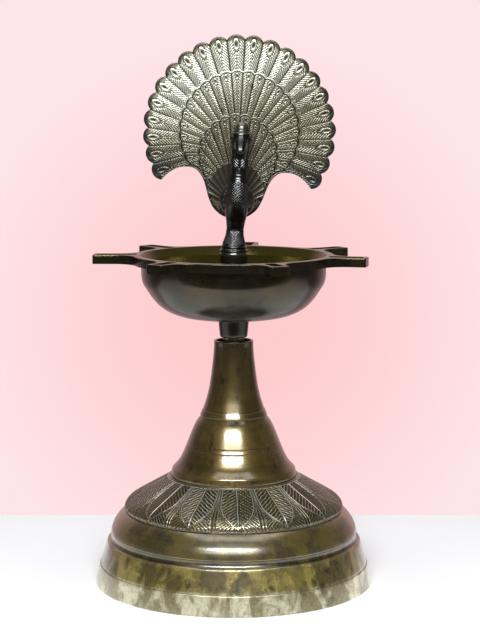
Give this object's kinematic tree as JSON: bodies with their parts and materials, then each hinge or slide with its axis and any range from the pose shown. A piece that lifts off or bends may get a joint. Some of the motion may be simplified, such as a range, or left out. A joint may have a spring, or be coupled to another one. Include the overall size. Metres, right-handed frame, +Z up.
{
  "type": "standing oil lamp",
  "caption": "Tall brass floor or altar oil lamp: stepped round foot, bell-shaped stem, shallow bowl with flat wick spouts and a peacock finial.",
  "frame": {"origin": "on the lamp's axis, on the surface it stands on", "axes": "+Z up the lamp; the peacock looks along -Y; +X is to its left, as a viewer facing it sees to the right"},
  "size_m": [0.3134, 0.3133, 0.6127],
  "materials": {
    "foot_brass": "turned and polished cast brass, worn pale at the bottom and mottled with dark patina",
    "stem_brass": "turned and polished cast brass with an olive brown patina",
    "bowl_brass": "satin cast brass, dark grey olive outside and golden olive inside",
    "thread_brass": "machined brass",
    "bird_bronze": "cast and chased brass, near black and glossy",
    "tail_brass": "cast brass relief, rubbed bright on its ridges and dark in its grooves"
  },
  "bodies": {
    "base": {"base_foot": "foot_brass", "base_collar": "foot_brass"},
    "stem_screw": {"stem_spigot": "thread_brass"},
    "stem": {"stem_column": "stem_brass", "neck_bush": "stem_brass"},
    "bowl_screw": {"bowl_stud": "thread_brass"},
    "bowl": {"bowl_boss": "bowl_brass", "bowl_pan": "bowl_brass", "bowl_post": "bowl_brass"},
    "finial_screw": {"finial_stud": "thread_brass"},
    "finial": {"peacock": "bird_bronze", "tail_fan": "tail_brass", "tail_rivets": "tail_brass"}
  },
  "joints": [
    {"name": "stem_lift", "type": "slide", "parent": "base", "child": "stem_screw", "axis": [0, 0, 1], "range_m": [0, 0.01501]},
    {"name": "stem_turn", "type": "hinge", "parent": "stem_screw", "child": "stem", "pos_m": [0, 0, 0], "axis": [0, 0, 1], "range_deg": [0, 1800]},
    {"name": "bowl_lift", "type": "slide", "parent": "stem", "child": "bowl_screw", "axis": [0, 0, 1], "range_m": [0, 0.01801]},
    {"name": "bowl_turn", "type": "hinge", "parent": "bowl_screw", "child": "bowl", "pos_m": [0, 0, 0], "axis": [0, 0, 1], "range_deg": [0, 2160]},
    {"name": "finial_lift", "type": "slide", "parent": "bowl", "child": "finial_screw", "axis": [0, 0, 1], "range_m": [0, 0.01501]},
    {"name": "finial_turn", "type": "hinge", "parent": "finial_screw", "child": "finial", "pos_m": [0, 0, 0], "axis": [0, 0, 1], "range_deg": [0, 3600]}
  ],
  "couplings": [
    {"joint": "stem_lift", "follows": "stem_turn", "m_per_rad": 0.00047746},
    {"joint": "bowl_lift", "follows": "bowl_turn", "m_per_rad": 0.00047746},
    {"joint": "finial_lift", "follows": "finial_turn", "m_per_rad": 0.00023873}
  ]
}
